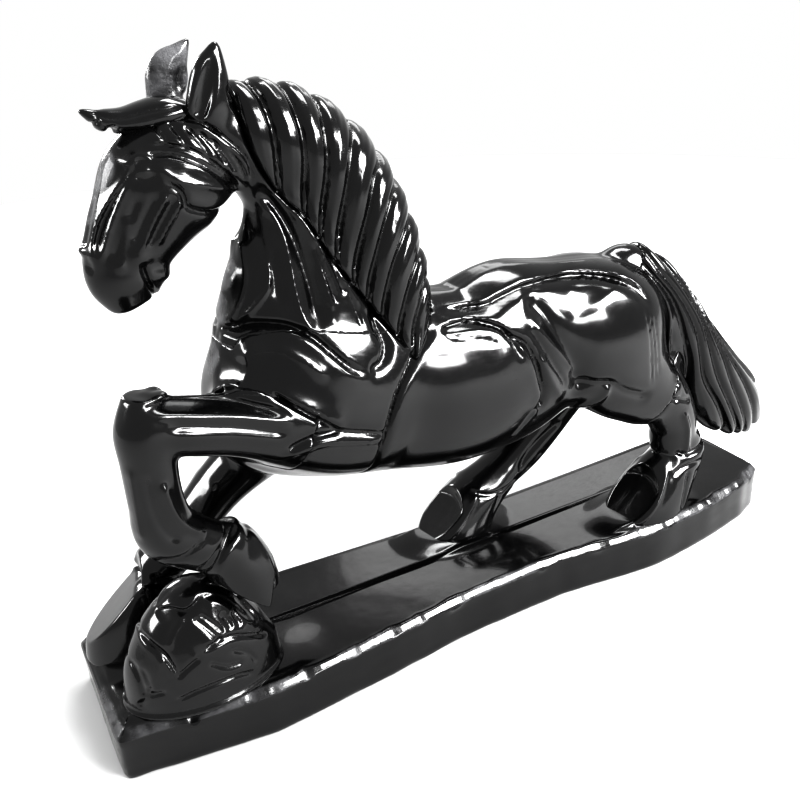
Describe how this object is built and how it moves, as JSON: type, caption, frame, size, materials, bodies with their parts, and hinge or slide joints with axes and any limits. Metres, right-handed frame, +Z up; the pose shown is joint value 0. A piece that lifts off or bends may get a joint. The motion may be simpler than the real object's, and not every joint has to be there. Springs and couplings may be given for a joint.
{
  "type": "horse figurine",
  "caption": "Carved black stone horse, prancing with a raised foreleg over a rock, on a long rough-edged slab base.",
  "frame": {"origin": "middle of the slab's underside, on the surface that the figurine stands on", "axes": "+X along the slab from the horse's head towards its tail, +Y from the horse's left side to its right, +Z up"},
  "size_m": [0.3051, 0.069, 0.2256],
  "materials": {
    "black_stone": "polished black stone",
    "pin_steel": "plain drawn bar"
  },
  "bodies": {
    "root": {"base_slab": "black_stone", "rock_mound": "black_stone", "trunk": "black_stone", "neck_and_head": "black_stone", "forelock": "black_stone", "mane": "black_stone", "tail": "black_stone", "left_foreleg": "black_stone", "right_foreleg": "black_stone", "left_hind_leg": "black_stone", "right_hind_leg": "black_stone", "neck_pin_front": "pin_steel", "neck_pin_rear": "pin_steel", "tail_pin": "pin_steel", "left_foreleg_pin": "pin_steel", "right_foreleg_pin": "pin_steel", "left_hind_leg_pin": "pin_steel", "right_hind_leg_pin": "pin_steel", "right_fore_hoof_pin": "pin_steel", "left_hind_hoof_pin": "pin_steel", "right_hind_hoof_pin": "pin_steel", "raised_hoof_pin": "pin_steel", "mane_pin_upper": "pin_steel", "mane_pin_lower": "pin_steel", "rock_pin_front": "pin_steel", "rock_pin_rear": "pin_steel"}
  },
  "joints": []
}
